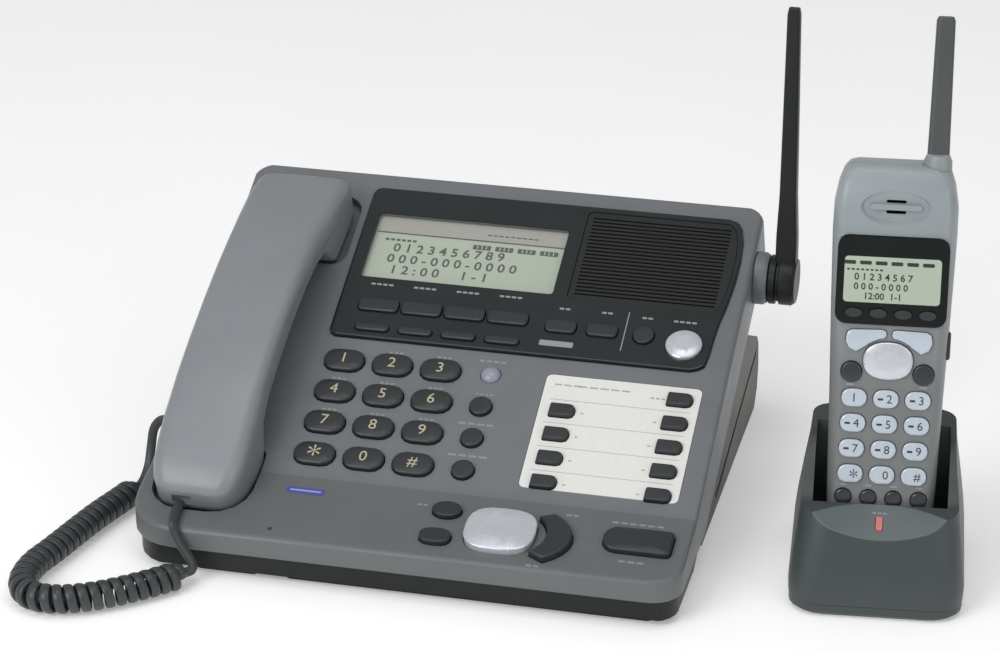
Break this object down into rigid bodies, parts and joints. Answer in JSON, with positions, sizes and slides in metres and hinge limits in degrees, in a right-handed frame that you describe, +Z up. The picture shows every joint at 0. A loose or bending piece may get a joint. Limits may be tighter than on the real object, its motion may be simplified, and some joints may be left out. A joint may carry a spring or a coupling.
{
  "type": "corded desk telephone base with cordless handset and charger",
  "caption": "Desk telephone base with curly-corded handset, display and keys, beside a cordless handset leaning in its charger.",
  "frame": {"origin": "middle of the set's footprint on the desk, measured without the free cord", "axes": "+X to the object's right (from the corded handset towards the charger), +Y to the back, +Z up"},
  "size_m": [0.4294, 0.2994, 0.2595],
  "materials": {
    "console_plastic": "fine satin moulding, blue-grey",
    "handset_plastic": "satin silver-grey",
    "black_plastic": "black, semi-matt",
    "stand_plastic": "warm dark grey, fine texture",
    "bezel_plastic": "high gloss, green-black",
    "clear_plastic": "clear moulding",
    "grille_plastic": "black ribbed",
    "key_plastic": "charcoal, rubber-like satin",
    "silver_plastic": "silver lacquer, slightly lavender",
    "card_paper": "white printed card",
    "circuit_board": "green solder mask",
    "metal": "bare metal",
    "rubber_feet": "black rubber",
    "cord_plastic": "dark slate vinyl",
    "charger_plastic": "dark slate, satin",
    "cordless_plastic": "satin mid grey",
    "cordless_key_plastic": "pale blue-silver",
    "lamp_plastic": "translucent red lens",
    "lcd_glass": "grey-green liquid crystal panel"
  },
  "bodies": {
    "base_and_charger": {"base_upper_housing": "console_plastic", "base_lower_case": "black_plastic", "desk_stand": "stand_plastic", "front_foot_left": "rubber_feet", "front_foot_right": "rubber_feet", "base_circuit_board": "circuit_board", "display_bezel": "bezel_plastic", "display_window": "clear_plastic", "display_module": "lcd_glass", "speaker_grille": "grille_plastic", "speaker_driver": "metal", "directory_card": "card_paper", "message_lamp": "silver_plastic", "antenna_collar": "console_plastic", "charger_housing": "charger_plastic", "charger_base_plate": "charger_plastic", "charging_contacts": "metal", "charge_lamp": "lamp_plastic", "curly_cord_coil": "cord_plastic", "base_cord_tail": "cord_plastic", "handset_jack": "black_plastic", "base_cord_plug": "clear_plastic"},
    "corded_handset": {"handset_outer_shell": "handset_plastic", "handset_inner_shell": "handset_plastic", "handset_receiver": "metal", "handset_microphone": "metal", "handset_cord_plug": "clear_plastic", "handset_cord_tail": "cord_plastic"},
    "cordless_handset": {"cordless_front_shell": "cordless_plastic", "cordless_back_shell": "cordless_plastic", "cordless_antenna": "charger_plastic", "cordless_display_cover": "bezel_plastic", "cordless_battery": "key_plastic"},
    "dial_key_1": {"dial_key_1": "key_plastic"},
    "dial_key_2": {"dial_key_2": "key_plastic"},
    "dial_key_3": {"dial_key_3": "key_plastic"},
    "dial_key_4": {"dial_key_4": "key_plastic"},
    "dial_key_5": {"dial_key_5": "key_plastic"},
    "dial_key_6": {"dial_key_6": "key_plastic"},
    "dial_key_7": {"dial_key_7": "key_plastic"},
    "dial_key_8": {"dial_key_8": "key_plastic"},
    "dial_key_9": {"dial_key_9": "key_plastic"},
    "dial_key_star": {"dial_key_star": "key_plastic"},
    "dial_key_0": {"dial_key_0": "key_plastic"},
    "dial_key_hash": {"dial_key_hash": "key_plastic"},
    "side_keys": {"side_keys": "key_plastic"},
    "panel_keys": {"panel_keys": "key_plastic"},
    "message_key": {"message_key": "silver_plastic"},
    "directory_keys": {"directory_keys": "key_plastic"},
    "front_small_keys": {"front_small_keys": "key_plastic"},
    "navigator_key": {"navigator_key": "silver_plastic"},
    "answer_key": {"answer_key": "key_plastic"},
    "volume_rocker": {"volume_rocker": "key_plastic"},
    "hook_switch": {"hook_switch": "black_plastic"},
    "base_antenna": {"base_antenna": "black_plastic"},
    "cordless_keypad": {"cordless_keypad": "cordless_key_plastic"},
    "cordless_call_keys": {"cordless_call_keys": "cordless_key_plastic"},
    "cordless_nav_key": {"cordless_nav_key": "silver_plastic"},
    "cordless_side_key": {"cordless_side_key": "key_plastic"},
    "cordless_battery_cover": {"cordless_battery_cover": "cordless_plastic"}
  },
  "joints": [
    {"name": "corded_handset_lift", "type": "slide", "parent": "base_and_charger", "child": "corded_handset", "axis": [0, -0.4143, 0.9101], "range_m": [0, 0.08]},
    {"name": "cordless_handset_lift", "type": "slide", "parent": "base_and_charger", "child": "cordless_handset", "axis": [-0.0217, 0.2068, 0.9781], "range_m": [0, 0.12]},
    {"name": "base_antenna_swing", "type": "hinge", "parent": "base_and_charger", "child": "base_antenna", "pos_m": [0.07019, 0.07725, 0.0891], "axis": [1, 0, 0], "range_deg": [-90, 90]},
    {"name": "hook_switch_press", "type": "slide", "parent": "base_and_charger", "child": "hook_switch", "axis": [0, 0.4143, -0.9101], "range_m": [0, 0.002], "stiffness_N_per_m": 150, "springref_m": -0.0005},
    {"name": "dial_key_1_press", "type": "slide", "parent": "base_and_charger", "child": "dial_key_1", "axis": [0, 0.4143, -0.9101], "range_m": [0, 0.0015], "stiffness_N_per_m": 350, "springref_m": -0.0004},
    {"name": "dial_key_2_press", "type": "slide", "parent": "base_and_charger", "child": "dial_key_2", "axis": [0, 0.4143, -0.9101], "range_m": [0, 0.0015], "stiffness_N_per_m": 350, "springref_m": -0.0004},
    {"name": "dial_key_3_press", "type": "slide", "parent": "base_and_charger", "child": "dial_key_3", "axis": [0, 0.4143, -0.9101], "range_m": [0, 0.0015], "stiffness_N_per_m": 350, "springref_m": -0.0004},
    {"name": "dial_key_4_press", "type": "slide", "parent": "base_and_charger", "child": "dial_key_4", "axis": [0, 0.4143, -0.9101], "range_m": [0, 0.0015], "stiffness_N_per_m": 350, "springref_m": -0.0004},
    {"name": "dial_key_5_press", "type": "slide", "parent": "base_and_charger", "child": "dial_key_5", "axis": [0, 0.4143, -0.9101], "range_m": [0, 0.0015], "stiffness_N_per_m": 350, "springref_m": -0.0004},
    {"name": "dial_key_6_press", "type": "slide", "parent": "base_and_charger", "child": "dial_key_6", "axis": [0, 0.4143, -0.9101], "range_m": [0, 0.0015], "stiffness_N_per_m": 350, "springref_m": -0.0004},
    {"name": "dial_key_7_press", "type": "slide", "parent": "base_and_charger", "child": "dial_key_7", "axis": [0, 0.4143, -0.9101], "range_m": [0, 0.0015], "stiffness_N_per_m": 350, "springref_m": -0.0004},
    {"name": "dial_key_8_press", "type": "slide", "parent": "base_and_charger", "child": "dial_key_8", "axis": [0, 0.4143, -0.9101], "range_m": [0, 0.0015], "stiffness_N_per_m": 350, "springref_m": -0.0004},
    {"name": "dial_key_9_press", "type": "slide", "parent": "base_and_charger", "child": "dial_key_9", "axis": [0, 0.4143, -0.9101], "range_m": [0, 0.0015], "stiffness_N_per_m": 350, "springref_m": -0.0004},
    {"name": "dial_key_star_press", "type": "slide", "parent": "base_and_charger", "child": "dial_key_star", "axis": [0, 0.4143, -0.9101], "range_m": [0, 0.0015], "stiffness_N_per_m": 350, "springref_m": -0.0004},
    {"name": "dial_key_0_press", "type": "slide", "parent": "base_and_charger", "child": "dial_key_0", "axis": [0, 0.4143, -0.9101], "range_m": [0, 0.0015], "stiffness_N_per_m": 350, "springref_m": -0.0004},
    {"name": "dial_key_hash_press", "type": "slide", "parent": "base_and_charger", "child": "dial_key_hash", "axis": [0, 0.4143, -0.9101], "range_m": [0, 0.0015], "stiffness_N_per_m": 350, "springref_m": -0.0004},
    {"name": "side_keys_press", "type": "slide", "parent": "base_and_charger", "child": "side_keys", "axis": [0, 0.4143, -0.9101], "range_m": [0, 0.0012], "stiffness_N_per_m": 600, "springref_m": -0.0004},
    {"name": "panel_keys_press", "type": "slide", "parent": "base_and_charger", "child": "panel_keys", "axis": [0, 0.4143, -0.9101], "range_m": [0, 0.0012], "stiffness_N_per_m": 600, "springref_m": -0.0004},
    {"name": "message_key_press", "type": "slide", "parent": "base_and_charger", "child": "message_key", "axis": [0, 0.4143, -0.9101], "range_m": [0, 0.0015], "stiffness_N_per_m": 600, "springref_m": -0.0004},
    {"name": "directory_keys_press", "type": "slide", "parent": "base_and_charger", "child": "directory_keys", "axis": [0, 0.4143, -0.9101], "range_m": [0, 0.0012], "stiffness_N_per_m": 600, "springref_m": -0.0004},
    {"name": "front_small_keys_press", "type": "slide", "parent": "base_and_charger", "child": "front_small_keys", "axis": [0, 0.2261, -0.9741], "range_m": [0, 0.0015], "stiffness_N_per_m": 600, "springref_m": -0.0004},
    {"name": "navigator_key_press", "type": "slide", "parent": "base_and_charger", "child": "navigator_key", "axis": [0, 0.2261, -0.9741], "range_m": [0, 0.0015], "stiffness_N_per_m": 600, "springref_m": -0.0004},
    {"name": "answer_key_press", "type": "slide", "parent": "base_and_charger", "child": "answer_key", "axis": [0, 0.2261, -0.9741], "range_m": [0, 0.0015], "stiffness_N_per_m": 600, "springref_m": -0.0004},
    {"name": "volume_rocker_tilt", "type": "hinge", "parent": "base_and_charger", "child": "volume_rocker", "pos_m": [0.00869, -0.10252, 0.02972], "axis": [1, 0, 0], "range_deg": [-3, 3], "stiffness_Nm_per_rad": 0.3},
    {"name": "cordless_keypad_press", "type": "slide", "parent": "cordless_handset", "child": "cordless_keypad", "axis": [-0.1022, 0.9728, -0.2079], "range_m": [0, 0.001], "stiffness_N_per_m": 600, "springref_m": -0.0004},
    {"name": "cordless_call_keys_press", "type": "slide", "parent": "cordless_handset", "child": "cordless_call_keys", "axis": [-0.1022, 0.9728, -0.2079], "range_m": [0, 0.001], "stiffness_N_per_m": 600, "springref_m": -0.0004},
    {"name": "cordless_nav_key_press", "type": "slide", "parent": "cordless_handset", "child": "cordless_nav_key", "axis": [-0.1022, 0.9728, -0.2079], "range_m": [0, 0.001], "stiffness_N_per_m": 600, "springref_m": -0.0004},
    {"name": "cordless_side_key_press", "type": "slide", "parent": "cordless_handset", "child": "cordless_side_key", "axis": [-0.9945, -0.1045, 0], "range_m": [0, 0.0008], "stiffness_N_per_m": 500, "springref_m": -0.0004},
    {"name": "cordless_battery_cover_off", "type": "slide", "parent": "cordless_handset", "child": "cordless_battery_cover", "axis": [-0.1022, 0.9728, -0.2079], "range_m": [0, 0.015]}
  ]
}
